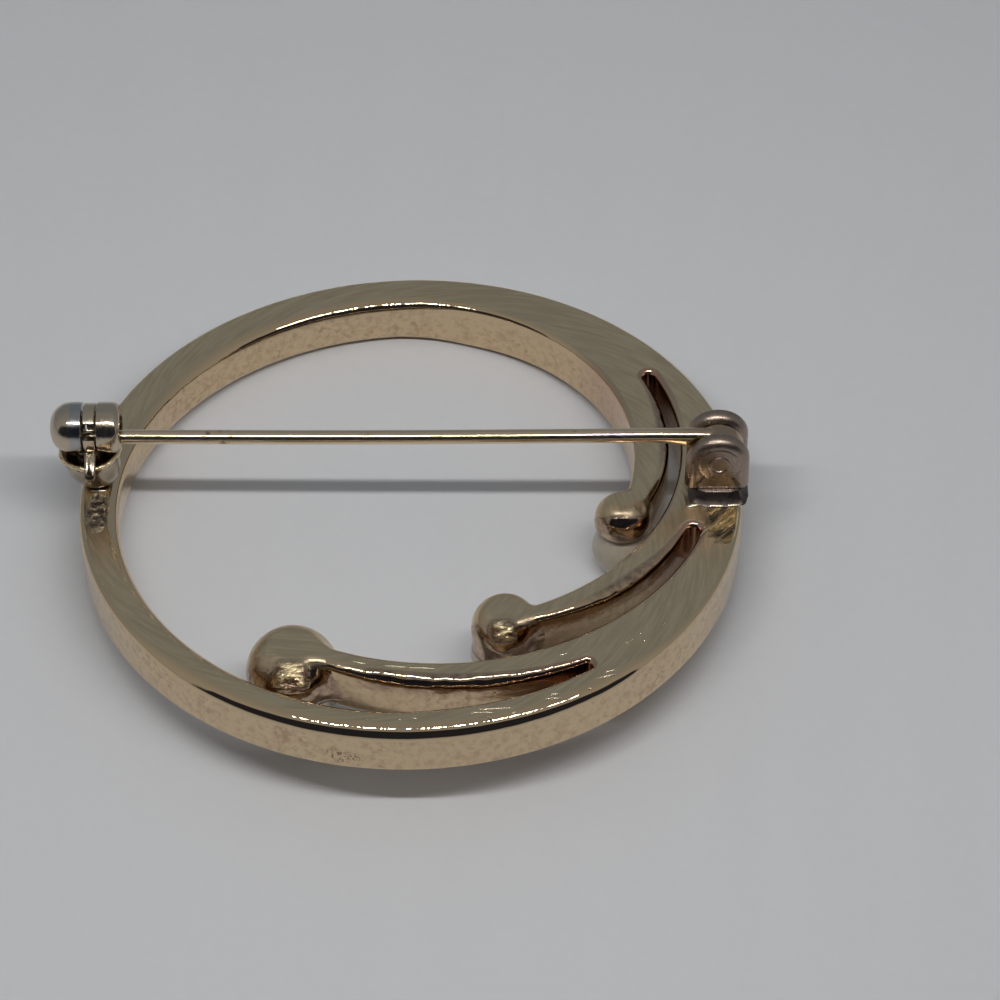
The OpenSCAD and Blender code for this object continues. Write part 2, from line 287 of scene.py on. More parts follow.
def makeGold():  # walls and edges, file marks on the satin flat, coarse filed strokes with painted highlight on their ridges and painted shade between them, painted reflections in the slots and on the stems' edges
    material, tree, link, place = newMaterial("satinGold", Metallic=1.0)

    def linesIn(key, where):
        lines, stretch, slant = goldLook[key]
        leaning = turnPlace(where, slant)
        return useGroup(tree, fileMarks, {"Vector": leaning, "Lines": lines, "Stretch": stretch})

    def spotIn(key):
        centre, size, ragged = goldLook[key]
        return useGroup(tree, spot, {"Vector": place, "Centre": onTable(*centre), "Size": size,
                                     "Ragged": ragged})["Mask"]
    satin, filed, edge, paintedSlotReflection, bumpyWithDarkReflection = (addNode(tree, "Attribute", attribute_name=key)["Fac"]
                                          for key in ("satin", "filed", "edge", "paintedSlotReflection", "bumpyWithDarkReflection"))
    marks = linesIn("marks", useGroup(tree, roundPlace, {"Vector": place, "Radius": 16.0})["Vector"])
    strokes, scrapes = linesIn("strokes", place), linesIn("scrapes", place)
    wear = useGroup(tree, speckle, {"Vector": place, "Size": 0.3, "Amount": 0.5})["Mask"]
    ripple = noiseNode(place, 2.6, 5.0, 0.65)
    grain = noiseNode(place, 6.5, 2.0)
    waves = noiseNode(place, 1.3, 0.0)
    holes = noiseNode(place, 2.8, 3.0)
    solder, pitted = times(spotIn("hingeSolder"), satin), times(spotIn("catchSolder"), satin)
    wall = minus(1.0, mathNode("MAXIMUM", satin, edge), clamp=True)

    # Colour: each layer lies over those before it
    colours = dict(goldLook)
    # filed strokes: painted highlight on the ridges, painted shade in the grooves between them
    colours["strokeLightAndShade"] = mixColour(rampNode(strokes["Height"], 0.43, 0.52), colours["tarnishAndShade"], colours["filed"])
    # solder patch: a real smear, with painted highlight on the scrapes' ridges and painted shade in their
    # grooves
    colours["scrapeLightAndShade"] = mixColour(rampNode(scrapes["Height"], 0.4, 0.52), colours["pitsAndShade"], colours["solder"])
    layers = [
        (satin, "satin"),
        # painted reflection: red-brown deep in the slots, where gold faces gold
        (paintedSlotReflection, "paintedSlotReflection"),
        # painted dark reflection on the stems' edges and on the cups' sides towards the viewer
        (times(bumpyWithDarkReflection, rampNode(ripple, 0.4, 0.62, (0.35, 0.9))), "paintedDarkReflection"),
        (times(wall, rampNode(ripple, 0.45, 0.68, (0.0, 0.42))), "tarnishAndShade"),
        (times(times(wear, wall), 0.4), "tarnishAndShade"),
        (times(times(marks["Deep"], satin), 0.22), "tarnishAndShade"),
        (times(satin, rampNode(marks["Height"], 0.38, 0.62, (0.0, 0.5))), "brushed"),
        # painted highlight and shade of the filed strokes on the cups
        (filed, "strokeLightAndShade"),
        (times(times(spotIn("wallPits"), wall), rampNode(grain, 0.5, 0.6, (0.0, 0.75))), "pitsAndShade"),
        # painted highlight and shade of the scraped solder by the hinge
        (times(solder, 0.9), "scrapeLightAndShade"),
        (times(pitted, rampNode(holes, 0.5, 0.62, (0.97, 0.1))), "pitsAndShade"),
        # painted shade at the base of the catch's foot
        (times(spotIn("catchFootShade"), 0.92), "pitsAndShade"),
    ]
    tint = colours["metal"]
    for share, name in layers:
        tint = mixColour(share, tint, colours[name])
    link(tint, "Base Color")

    patches = mathNode("MAXIMUM", solder, pitted)
    plain = minus(satin, patches, clamp=True)
    rough = goldLook["polish"]
    for share, amount in ((plain, goldLook["satinRough"]),
                          (wall, rampNode(ripple, 0.35, 0.65, goldLook["wallRough"])),
                          (mathNode("MAXIMUM", patches, filed), goldLook["patchRough"]),
                          (solder, goldLook["solderRough"])):
        rough = plus(rough, times(share, amount))
    link(rough, "Roughness")

    swell = times(waves, plus(times(bumpyWithDarkReflection, 0.7), 0.12))
    normal = None
    for height, strength, depth in ((times(marks["Height"], plain), 0.6, "markDepth"),
                                    (times(strokes["Height"], filed), 1.0, "strokeDepth"),
                                    (times(scrapes["Height"], solder), 1.0, "scrapeDepth"),
                                    (times(holes, pitted), 1.0, "holeDepth"),
                                    (times(swell, minus(1.0, satin)), 1.0, "waveDepth"),
                                    (times(grain, wall), 0.25, "grainDepth")):
        normal = bumpNode(height, strength, goldLook[depth], normal)
    link(normal, "Normal")
    return material


pearlLook = {
    "dark": (0.41, 0.36, 0.28, 1), "light": (0.51, 0.455, 0.375, 1), "rim": (0.33, 0.32, 0.27, 1),
    "roughness": 0.22,
}


def makePearl():
    material, tree, link, place = newMaterial("pearlLustre", Roughness=pearlLook["roughness"], IOR=1.5,
                                                Coat_Weight=0.4, Coat_Roughness=0.12)
    cloud = rampNode(noiseNode(place, 0.8, 3.0), 0.35, 0.65)
    edge = addNode(tree, "LayerWeight", {"Blend": 0.35})["Facing"]
    cream = mixColour(cloud, pearlLook["dark"], pearlLook["light"])
    link(mixColour(times(edge, 0.5), cream, pearlLook["rim"]), "Base Color")
    return material


platedLook = {      # colour, dirt and painted shade colour, roughness, depth of the scratches, amount of dirt
    "rimGold": ((0.95, 0.76, 0.47, 1), (0.3, 0.18, 0.1, 1), 0.24, 0.6, 0.3),
    "pinWire": ((0.78, 0.63, 0.44, 1), (0.35, 0.22, 0.14, 1), 0.12, 0.25, 0.3),
    "catchMetal": ((0.57, 0.48, 0.37, 1), (0.25, 0.2, 0.15, 1), 0.10, 0.25, 0.3),
    "catchGold": ((0.53, 0.44, 0.33, 1), (0.10, 0.07, 0.05, 1), 0.14, 0.5, 0.55),
    "cheekReflectionGrey": ((0.44, 0.43, 0.425, 1), (0.2, 0.2, 0.2, 1), 0.12, 0.25, 0.3),
    "rollerMetal": ((0.62, 0.52, 0.38, 1), (0.2, 0.15, 0.1, 1), 0.12, 0.5, 0.35),
    "hingeMetal": ((0.35, 0.275, 0.225, 1), (0.07, 0.055, 0.05, 1), 0.26, 0.14, 0.2),
}


def makePlated(name):  # polished metal with fine wear, darker where the stain attribute is high, from real stains and painted shade
    colour, dirtAndShade, rough, scratch, amount = platedLook[name]
    material, tree, link, place = newMaterial(name, Metallic=1.0)
    marks = useGroup(tree, fileMarks, {"Vector": place, "Lines": 9.0, "Stretch": 6.0})
    specks = useGroup(tree, speckle, {"Vector": place, "Size": 0.3, "Amount": amount})["Mask"]
    stainAndShade = addNode(tree, "Attribute", attribute_name="stainAndShade")["Fac"]
    link(mixColour(mathNode("MAXIMUM", specks, stainAndShade), colour, dirtAndShade), "Base Color")
    link(rampNode(marks["Height"], 0.3, 0.7, (rough, rough + 0.12)), "Roughness")
    link(bumpNode(marks["Height"], scratch, 0.02), "Normal")
    return material


gold = makeGold()
pearlSkin = makePearl()
burr = newMaterial("burr", Base_Color=(0.85, 0.74, 0.55, 1), Metallic=1.0, Roughness=0.24)[0]
metals = {name: makePlated(name) for name in platedLook}

# Openwork: the ring, its three stems and the webs between them, as one slab with rounded edges

ring = {
    "radius": 17.5, "thickness": 2.8, "outerFront": 0.2,
    "outerBack": (0.33, 0.75),          # rounding of the outer back edge, least and most
    "outerTurn": (222, 312, 16),        # most between these angles, eased over the last
    "innerBack": (0.37, 0.7), "innerFront": (0.15, 0.75),      # least, and along the open middle
    "openShare": 0.87,                  # how much of it the open middle's back edge gets
    "opening": (0.1, -0.25, 15.5),      # centre x, centre y, radius
    "nearWall": (0.13, 0.37, 16.14),    # the ring's inner wall beside the third slot
    "inner": [(-0.39, 3.08, 12.2), (1.2, 3.67, 13.15), (1.64, 2.01, 14.47)],
    "outer": [(3.09, 4.14, 10.65), (3.37, 2.2, 12.17), (2.3, 2.11, 16.1)],
    "tips": [(11.6, -1.1), (5.7, -9.1), (-5.9, -11.1)],           # the stems end here, inside the cups
    "slotEnds": [(12.8, 9.2), (14.8, -3.0), (9.15, -12.6)],       # the slots end about here
    "firstSlot": (0.5555, 15.2433),     # where the open middle meets the first stem's wall
    "step": 0.16, "satinDepth": 0.02,
}


def fromCircle(points, circle):  # how far outside a circle of centre x, centre y and radius
    return np.hypot(points[..., 0] - circle[0], points[..., 1] - circle[1]) - circle[2]


def nearestOn(circle, point):
    centre = np.array(circle[:2])
    way = np.array(point) - centre
    return centre + way / np.linalg.norm(way) * circle[2]


def arcBetween(circle, start, end, way):  # way is 1 for anticlockwise, -1 for clockwise
    a, b = (math.atan2(p[1] - circle[1], p[0] - circle[0]) for p in (start, end))
    sweep = (b - a) * way % (2 * math.pi)
    count = max(4, int(circle[2] * sweep / ring["step"]))
    angles = a + way * np.linspace(0, sweep, count, endpoint=False)
    return np.stack([circle[0] + circle[2] * np.cos(angles), circle[1] + circle[2] * np.sin(angles)], 1)


def roundEnd(circleA, a, wayA, circleB, b, wayB, fullness=0.72):
    # A cubic curve that leaves a and meets b in line with both arcs
    def heading(circle, p, way):
        out = (np.array(p) - circle[:2]) / circle[2]
        return way * np.array([-out[1], out[0]])
    reach = fullness * np.linalg.norm(np.array(b) - a)
    t = np.linspace(0, 1, 14, endpoint=False)[:, None]
    c, d = a + reach * heading(circleA, a, wayA), b - reach * heading(circleB, b, wayB)
    return (1 - t) ** 3 * a + 3 * (1 - t) ** 2 * t * c + 3 * (1 - t) * t ** 2 * d + t ** 3 * b


def innerPath():  # clockwise round the open middle, in and out of the slots, metal on the left
    at = np.array(ring["firstSlot"])
    parts = [arcBetween(ring["opening"], nearestOn(ring["opening"], (0.1, -20)), at, -1)]
    for k in range(3):
        inner, outer = ring["inner"][k], ring["outer"][k]
        follow = ring["inner"][k + 1] if k < 2 else ring["nearWall"]
        tipIn, tipOut = nearestOn(inner, ring["tips"][k]), nearestOn(outer, ring["tips"][k])
        endOut, endIn = nearestOn(outer, ring["slotEnds"][k]), nearestOn(follow, ring["slotEnds"][k])
        parts.append(arcBetween(inner, at, tipIn, -1))
        parts.append(roundEnd(inner, tipIn, -1, outer, tipOut, 1, 0.6))
        parts.append(arcBetween(outer, tipOut, endOut, 1))
        parts.append(roundEnd(outer, endOut, 1, follow, endIn, -1))
        at = endIn
    parts.append(arcBetween(ring["nearWall"], at, nearestOn(ring["nearWall"], (0.13, -20)), -1))
    loop = np.concatenate(parts)
    return loop[np.linalg.norm(loop - np.roll(loop, 1, 0), axis=1) > ring["step"] / 3]


def leftOf(loop):  # unit vectors to the left of the way the loop runs
    along = np.roll(loop, -1, 0) - np.roll(loop, 1, 0)
    along /= np.linalg.norm(along, axis=1)[:, None]
    return np.stack([-along[:, 1], along[:, 0]], 1)


def edgeProfile(thickness, backRound, frontRound, rim=0.03):
    # (inset, z) from the back face down to the front face. The roundings may differ along the loop
    backRound, frontRound = np.atleast_1d(backRound), np.atleast_1d(frontRound)
    a = np.linspace(0, math.pi / 2, 11)[:, None]
    b = np.linspace(0, math.pi / 2, 7)[:, None]
    back = np.stack([backRound * (1 - np.sin(a)), -backRound * (1 - np.cos(a))], -1)
    front = np.stack([frontRound * (1 - np.cos(b)), -thickness + frontRound * (1 - np.sin(b))], -1)
    wall = np.linspace(back[-1], front[0], 5)[1:-1]
    top = np.stack([backRound + rim, 0 * backRound], -1)
    end = np.stack([frontRound + rim, 0 * frontRound - thickness], -1)
    return np.concatenate([top[None], back, wall, front, end[None]])


def profileRound(loop, profile):  # the profile carried along the loop, inset to the loop's left
    if profile.ndim == 2:
        profile = profile[:, None]
    flat = loop[None] + profile[..., :1] * leftOf(loop)[None]
    height = np.broadcast_to(profile[..., 1:], flat.shape[:2] + (1,))
    return np.concatenate([flat, height], -1)


def insideLoop(points, loop):  # counts the loop's crossings to the right of each point
    a, b = loop, np.roll(loop, -1, 0)
    y = points[:, 1][:, None]
    spans = (a[:, 1] > y) != (b[:, 1] > y)
    x = a[:, 0] + (y - a[:, 1]) * (b[:, 0] - a[:, 0]) / np.where(b[:, 1] == a[:, 1], 1, b[:, 1] - a[:, 1])
    return (spans & (points[:, 0][:, None] < x)).sum(1) % 2 == 1


def capFaces(outerLoop, innerLoop):  # triangles between two loops, numbered outer loop first
    points = np.concatenate([outerLoop, innerLoop])
    n, m = len(outerLoop), len(innerLoop)
    edges = [(i, (i + 1) % n) for i in range(n)] + [(n + i, n + (i + 1) % m) for i in range(m)]
    flat, _, faces, origins, _, _ = delaunay_2d_cdt([tuple(p) for p in points], edges, [], 0, 1e-6)
    source = np.array([o[0] for o in origins])
    triangles = np.array(faces)
    middles = np.array([tuple(p) for p in flat])[triangles].mean(1)
    keep = insideLoop(middles, outerLoop) & ~insideLoop(middles, innerLoop)
    return source[triangles[keep]]


def easedShare(share, limits):  # a share round the loop, eased over 25 points, as a value between the limits
    share = np.convolve(np.concatenate([share[-12:], share, share[:12]]), np.ones(25) / 25, "valid")
    return limits[0] + (limits[1] - limits[0]) * share


def makeOpenwork():
    outer = arcBetween((0, 0, ring["radius"]), (1, 0), (1, -1e-9), 1)
    inner = innerPath()
    onOpening = np.abs(fromCircle(inner, ring["opening"])) < 0.02
    onOuter = sum(np.abs(fromCircle(inner, circle)) < 0.02 for circle in ring["outer"]) > 0
    onOuter = onOuter & np.roll(onOuter, 4) & np.roll(onOuter, -4)      # not where two arcs only cross
    # A stem's outer edge is wide from 3.2 off its tip and 0.6 off its slot's end, eased over 2
    tips, ends = (np.min([fromCircle(inner, (*p, 0)) for p in ring[key]], 0) for key in ("tips", "slotEnds"))
    onStem = onOuter * np.clip((tips - 3.2) / 2, 0, 1) * np.clip((ends - 0.6) / 2, 0, 1)
    back = easedShare(ring["openShare"] * onOpening + onStem, ring["innerBack"])
    front = easedShare(1.0 * onOpening, ring["innerFront"])
    turn = np.degrees(np.arctan2(-outer[:, 1], -outer[:, 0])) + 180
    begin, finish, ease = ring["outerTurn"]
    wide = np.clip(0.5 + (turn - begin) / ease, 0, 1) * np.clip(0.5 + (finish - turn) / ease, 0, 1)
    small, large = ring["outerBack"]
    outerRound = small + (large - small) * wide * wide * (3 - 2 * wide)
    outerProfile = edgeProfile(ring["thickness"], outerRound, ring["outerFront"] + 0 * turn)
    innerProfile = edgeProfile(ring["thickness"], back, front)
    rows, n, m = len(outerProfile), len(outer), len(inner)
    outside, inside = profileRound(outer, outerProfile), profileRound(inner, innerProfile)
    faces = [gridFaces(rows, n)[:, ::-1], gridFaces(rows, m, rows * n)[:, ::-1]]
    for row, way in ((0, 1), (rows - 1, -1)):      # the flat back, and the flat front facing the other way
        numbers = np.concatenate([row * n + np.arange(n), rows * n + row * m + np.arange(m)])
        faces.append(numbers[capFaces(outside[row, :, :2], inside[row, :, :2])][:, ::way])

    # Where each look goes: marks on the flat, polish on the edges, red painted reflection deep in the slots,
    # brown painted dark reflection on the stems' edges
    points = np.concatenate([outside.reshape(-1, 3), inside.reshape(-1, 3)])
    satin = np.clip(1 + points[:, 2] / ring["satinDepth"], 0, 1)
    rounding = np.concatenate([np.tile(outerRound, rows), np.full(rows * m, 0.5)])
    edge = np.clip((points[:, 2] + rounding) / 0.12, 0, 1)
    # painted reflection, redder towards each slot's end
    slotReflectionShare = 0.7 * np.tile(np.clip(1.2 - ends / 4, 0, 1), rows)
    # painted dark reflection along the upper part of the stems' outer walls
    paintedDarkReflection = np.tile(onStem, rows) * np.clip((inside[..., 2].ravel() + 0.85) / 0.2, 0, 1)
    none = np.zeros(rows * n)
    addPiece("openwork", (points, faces), gold, 50, "frame",
             {"satin": satin, "edge": edge,
              "paintedSlotReflection": np.concatenate([none, slotReflectionShare]) * (1 - satin),
              "bumpyWithDarkReflection": np.concatenate([none, paintedDarkReflection]) * (1 - satin)})


makeOpenwork()

# Cups: each is a ball that runs smoothly into its stem, with a rounded rim over the pearl

cups = {
    "at": [(11.16, -1.02), (5.01, -8.74), (-5.82, -11.26)], "radius": [1.47, 1.75, 2.4],
    "rise": 0.35, "filedAt": [0.2, 0.06, 0.06], "rim": [-1.56, -2.67, -2.49], "drum": [0.1, 1.72, 0.1],
    "blend": [0.45, 0.55, 0.7], "drumBlend": 0.06, "rimRound": 0.12, "filedRound": 0.1, "shrink": 0.012,
    "patch": [(0, 70, 0, 0), (1.0, 52, -0.1, 0.75), (1.3, 50, 0.05, 0.95)],   # strength, slope, side, width
    "name": ["cupSmall", "cupMedium", "cupLarge"],
}


def smoothLeast(a, b, k):  # the lesser of a and b, rounded where they are within k of each other
    h = np.clip(0.5 + 0.5 * (b - a) / k, 0, 1)
    return b + (a - b) * h - k * h * (1 - h)


def stemDistance(points, k, shrink):  # from a stem with rounded edges, negative inside it
    side = np.maximum(-fromCircle(points, ring["inner"][k]), fromCircle(points, ring["outer"][k]))
    end = ring["tips"][k]
    x, y = cups["at"][k]
    past = np.arctan2(points[..., 1], points[..., 0]) - math.atan2(y, x)
    past = -(past + math.pi) % (2 * math.pi) - math.pi       # angle past the cup, away from the stem
    side = np.maximum(side, past * np.hypot(end[0], end[1]))
    level = np.maximum(points[..., 2], -ring["thickness"] - points[..., 2])
    r = ring["innerBack"][0]
    a, b = side + shrink + r, level + shrink + r
    return np.hypot(np.maximum(a, 0), np.maximum(b, 0)) + np.minimum(np.maximum(a, b), 0) - r


def makeCup(k):
    # For each direction from the cup's middle, the distance at which ball and stem together end
    r = cups["radius"][k]
    centre = np.array([*cups["at"][k], cups["rise"] - r])
    down, about = np.meshgrid(np.linspace(0, math.pi, 73)[1:-1], allRound(120), indexing="ij")
    way = np.stack([np.sin(down) * np.cos(about), np.sin(down) * np.sin(about), np.cos(down)], -1)
    way = np.concatenate([way.reshape(-1, 3), [[0, 0, 1], [0, 0, -1]]])
    low, high = np.zeros(len(way)), np.full(len(way), r * 1.7)
    for _ in range(26):
        mid = (low + high) / 2
        p = centre + way * mid[:, None]
        ball = np.linalg.norm(p - centre, axis=1) - r
        form = smoothLeast(ball, stemDistance(p, k, cups["shrink"]), cups["blend"][k])
        beside = fromCircle(p, (*centre[:2], cups["drum"][k]))
        form = smoothLeast(form, np.maximum(beside, p[:, 2] - centre[2]), cups["drumBlend"])
        form = -smoothLeast(-form, p[:, 2] - cups["rim"][k], cups["rimRound"])
        form = -smoothLeast(-form, cups["filedAt"][k] - p[:, 2], cups["filedRound"])
        low, high = np.where(form < 0, mid, low), np.where(form < 0, high, mid)
    points = centre + way * low[:, None]
    lean = np.degrees(np.arctan2(-way[:, 1], way[:, 2]))
    satin = np.clip(way[:, 2] * 3.0 - 0.4, 0, 1) * np.clip((44 - lean) / 9, 0, 1)
    strength, slope, side, width = cups["patch"][k]
    across = (points[:, 0] - centre[0] - side) / max(width, 0.1)
    filed = strength * np.clip(1.6 - np.abs(lean - slope) / 14, 0, 1)
    filed = filed * np.clip(2.5 - 2.5 * np.abs(across), 0, 1)
    # towards the viewer the cup gets a painted dark reflection in brown, and more waviness
    addPiece(cups["name"][k], (points, tubeFaces(*down.shape, True)), gold, 60, None,
             {"satin": satin, "filed": np.clip(filed, 0, 1), "edge": 0.5 + 0 * satin,
              "bumpyWithDarkReflection": np.clip((lean - 20) / 20, 0, 1) * (1 - 0.4 * satin)})


for number in range(3):
    makeCup(number)

# Round pieces: a profile of (distance along the axis, radius) turned about an axis

ways = np.eye(3)


def turnedPoints(profile, origin, axis, angles):  # angle 0 points along the next axis after this one
    along, side, other = ways[axis], ways[(axis + 1) % 3], ways[(axis + 2) % 3]
    ringWay = np.cos(angles)[:, None] * side + np.sin(angles)[:, None] * other
    profile = np.array(profile, float)
    return np.array(origin) + profile[:, :1, None] * along + profile[:, 1:, None] * ringWay[None]


def turnedPart(profile, origin, axis, columns=64):  # the profile runs towards +axis, its ends are closed
    points = turnedPoints(profile, origin, axis, allRound(columns)).reshape(-1, 3)
    poles = np.array(origin) + np.array([profile[0][0], profile[-1][0]])[:, None] * ways[axis]
    return np.concatenate([points, poles]), tubeFaces(len(profile), columns)


def openRingPart(section, origin, axis, start, end, columns=72):  # a section turned from angle to angle
    section = np.array(section, float)
    angles = np.radians(np.linspace(start, end, columns))
    points = turnedPoints(section, origin, axis, angles)          # rows follow the section, columns the turn
    points = points.transpose(1, 0, 2).reshape(-1, 3)
    middle = turnedPoints(section.mean(0)[None], origin, axis, angles[[0, -1]])[0]
    return np.concatenate([points, middle]), tubeFaces(columns, len(section))


def slabPart(loop, profile, origin, axes):  # a slab with the loop along the first two, its top facing the third
    profile = profile.reshape(-1, 2)
    band = profileRound(loop, profile)
    centre = loop.mean(0)
    ends = [[centre[0], centre[1], profile[0, 1]], [centre[0], centre[1], profile[-1, 1]]]
    flat = np.concatenate([band.reshape(-1, 3), ends])
    return np.array(origin) + flat @ np.array(axes, float), tubeFaces(len(profile), len(loop), True)


def softRectangle(width, depth, radius, steps=8):  # anticlockwise, centred
    a = np.linspace(0, math.pi / 2, steps)
    corner = np.stack([np.cos(a), np.sin(a)], 1) * radius
    middle = np.array([width / 2 - radius, depth / 2 - radius])
    quarters = []
    for q, sides in ((0, (1, 1)), (math.pi / 2, (-1, 1)), (math.pi, (-1, -1)), (-math.pi / 2, (1, -1))):
        turn = np.array([[math.cos(q), math.sin(q)], [-math.sin(q), math.cos(q)]])
        quarters.append(middle * sides + corner @ turn)
    return np.concatenate(quarters)


def roundedProfile(corners, radii, steps=6):  # corners of a profile, each rounded by a quadratic curve
    corners = np.array(corners, float)
    line = [corners[:1]]
    for before, here, after, r in zip(corners[:-2], corners[1:-1], corners[2:], radii):
        a = here + (before - here) / np.linalg.norm(before - here) * r
        b = here + (after - here) / np.linalg.norm(after - here) * r
        t = np.linspace(0, 1, steps if r > 0 else 1)[:, None]
        line.append((1 - t) ** 2 * a + 2 * t * (1 - t) * here + t ** 2 * b if r > 0 else here[None])
    line.append(corners[-1:])
    return np.concatenate(line)


pearls = {
    "at": cups["at"], "height": [-3.07, -3.25, -2.9], "radius": [1.6, 1.8, 2.4], "flat": [-1.66, -2.76, -2.58],
    "name": ["pearlSmall", "pearlMedium", "pearlLarge"], "node": ["pearl_small", "pearl_medium", "pearl_large"],
}


def makePearlPiece(k):  # a ball cut flat where it meets its cup
    r, z = pearls["radius"][k], pearls["height"][k]
    flat = math.acos((pearls["flat"][k] - z) / r)
    a = np.linspace(flat, math.pi * 0.985, 40)
    profile = np.stack([z + r * np.cos(a), r * np.sin(a)], 1)
    profile = np.concatenate([[[profile[0, 0], profile[0, 1] * 0.5]], profile])
    part = turnedPart(profile[::-1], (*pearls["at"][k], 0), 2, 72)
    addPiece(pearls["name"][k], part, pearlSkin, 40, pearls["node"][k])


for number in range(3):
    makePearlPiece(number)

# Pin: a round wire that deepens towards its eye, with a slight bow

pin = {
    "y": 0.74, "z": 3.29, "radius": 0.38, "tip": -17.75, "point": 1.8, "bow": 0.1,
    "root": 12.6, "rootLength": 3.4, "deepen": 0.85, "eyeWidth": 0.9, "eyeRadius": 1.34, "around": 32,
}


def makePin():
    # Along the wire: radius by a sine of the way from the tip, to the power of 0.8. The underside falls
    # away at the root by a power of the way past it, and the whole wire bows by a sine of its length
    tip, point, around = pin["tip"], pin["point"], pin["around"]
    x = np.concatenate([np.linspace(rivetAt[0] - 0.2, pin["root"], 22), np.linspace(12.3, tip + point, 60),
                        tip + point * np.cos(np.linspace(0.2, math.pi / 2, 14))])
    taper = np.clip((x - tip) / point, 0, 1)
    r = np.maximum(pin["radius"] * np.sin(taper * math.pi / 2) ** 0.8, 0.02)[:, None]
    root = np.clip((x - pin["root"]) / pin["rootLength"], 0, 1)[:, None]
    along = np.clip((rivetAt[0] - x) / 34, 0, 1)
    z = (pin["z"] - pin["bow"] * np.sin(math.pi * along) ** 1.5)[:, None]
    a = allRound(around)
    low = np.where(np.sin(a) < 0, 1, 0)[None]
    points = np.stack([np.broadcast_to(x[:, None], (len(x), around)),
                       pin["y"] + r * np.cos(a) * (1 + 0.1 * root),
                       z + (r + pin["deepen"] * root ** 1.7 * low) * np.sin(a)], -1).reshape(-1, 3)
    ends = [[x[0], pin["y"], z[0, 0]], [tip, pin["y"], z[-1, 0]]]
    wire = (np.concatenate([points, ends]), tubeFaces(len(x), around, True))
    half, top = pin["eyeWidth"] / 2, pin["eyeRadius"]
    eye = roundedProfile([(-half, 0.1), (-half, top), (half, top), (half, 0.1)], [0.14, 0.14])
    part = joinParts([wire, turnedPart(eye, rivetAt, 1)])
    onWire = np.arange(len(part[0])) < len(wire[0])
    # darker towards the root and on the eye
    stainAndShade = np.where(onWire, 0.6 * np.clip((part[0][:, 0] - pin["root"]) / 3, 0, 1), 0.7)
    addPiece("pinStem", part, metals["pinWire"], 50, "pin_stem", {"stainAndShade": stainAndShade}, "pin")


makePin()

# Hinge block: a soldered plate with a neck and two round-topped ears, and the rivet through them

hinge = {
    "span": 2.62, "slot": 1.18, "half": 1.6, "shoulder": 0.16, "round": 0.55, "bottom": 0.34, "corner": 0.4,
    "plate": (3.2, 4.1, 0.72), "neck": (1.9, 2.1),
    # (distance outwards from the near ear's face, radius)
    "washer": [(0.05, 0.3), (0.05, 0.98), (0.035, 1.04), (0.01, 1.07), (-0.1, 1.07), (-0.1, 0.3)],
    "rivet": [(0.04, 0.1), (0.04, 0.37), (0.13, 0.42), (0.15, 0.49), (0.12, 0.57), (-0.02, 0.59), (-0.1, 0.48)],
    # (inset from the plate's outline, height below its top)
    "flank": [(0.75, 0), (0.62, -0.01), (0.55, -0.05), (0.5, -0.12), (0.3, -0.42), (0.16, -0.58),
              (0.06, -0.6624), (0, -0.7128), (0, -0.72), (0.3, -0.72)],
}


def makeHinge():
    a = np.linspace(0, math.pi, 48)
    foot = np.linspace(-math.pi / 2, 0, 10)
    r, c, down = hinge["half"], hinge["corner"], hinge["bottom"] - rivetAt[2]
    outline = np.concatenate([np.stack([r * np.cos(a), r * np.sin(a)], 1),
                              np.stack([-r + c - c * np.cos(foot[::-1]), down + c + c * np.sin(foot[::-1])], 1),
                              np.stack([r - c + c * np.cos(foot), down + c + c * np.sin(foot)], 1)])
    swell = np.clip((0.9 - outline[:, 1]) / 1.2, 0, 1)
    left = outline.copy()     # the near ear is broader at the side of the pin, low down
    left[:, 0] -= hinge["shoulder"] * np.where(outline[:, 0] < 0, swell * swell * (3 - 2 * swell), 0)
    thick = (hinge["span"] - hinge["slot"]) / 2
    parts = []
    for side, roundOut, roundIn, loop in ((-1, hinge["round"], 0.08, left), (1, 0.08, hinge["round"], outline)):
        face = rivetAt + [0, side * hinge["span"] / 2, 0]
        parts.append(slabPart(loop, edgeProfile(thick, roundOut, roundIn), face,
                              [(-side, 0, 0), (0, 0, 1), (0, side, 0)]))
    near = -hinge["span"] / 2
    parts.append(turnedPart([(near - out, radius) for out, radius in hinge["washer"]], rivetAt, 1, 72))
    plate = softRectangle(*hinge["plate"][:2], 0.9, 12)
    wavy = 1 + 0.02 * np.sin(7 * np.linspace(0, 2 * math.pi, len(plate)))[:, None]
    top = (rivetAt[0], pin["y"], hinge["plate"][2] - 0.02)
    parts.append(slabPart(plate * wavy, np.array(hinge["flank"]), top, ways))
    parts.append(slabPart(softRectangle(*hinge["neck"], 0.2), edgeProfile(0.7, 0.05, 0.05),
                          (rivetAt[0], pin["y"], 1.0), ways))
    block = joinParts(parts)
    # painted shade on the near side of the plate's flank and the low parts of the neck and ears
    stainAndShade = np.where((block[0][:, 2] < 0.66) & (block[0][:, 1] < 0), 0.85, 0)
    addPiece("hingeBlock", block, metals["hingeMetal"], 50, None, {"stainAndShade": stainAndShade})
    tube = [(near - out, radius) for out, radius in hinge["rivet"]]
    tube = tube + [(-along, radius) for along, radius in tube[::-1]]
    addPiece("hingeRivet", turnedPart(tube, rivetAt, 1, 48), metals["hingeMetal"], 60,
             "hinge_rivet")


makeHinge()

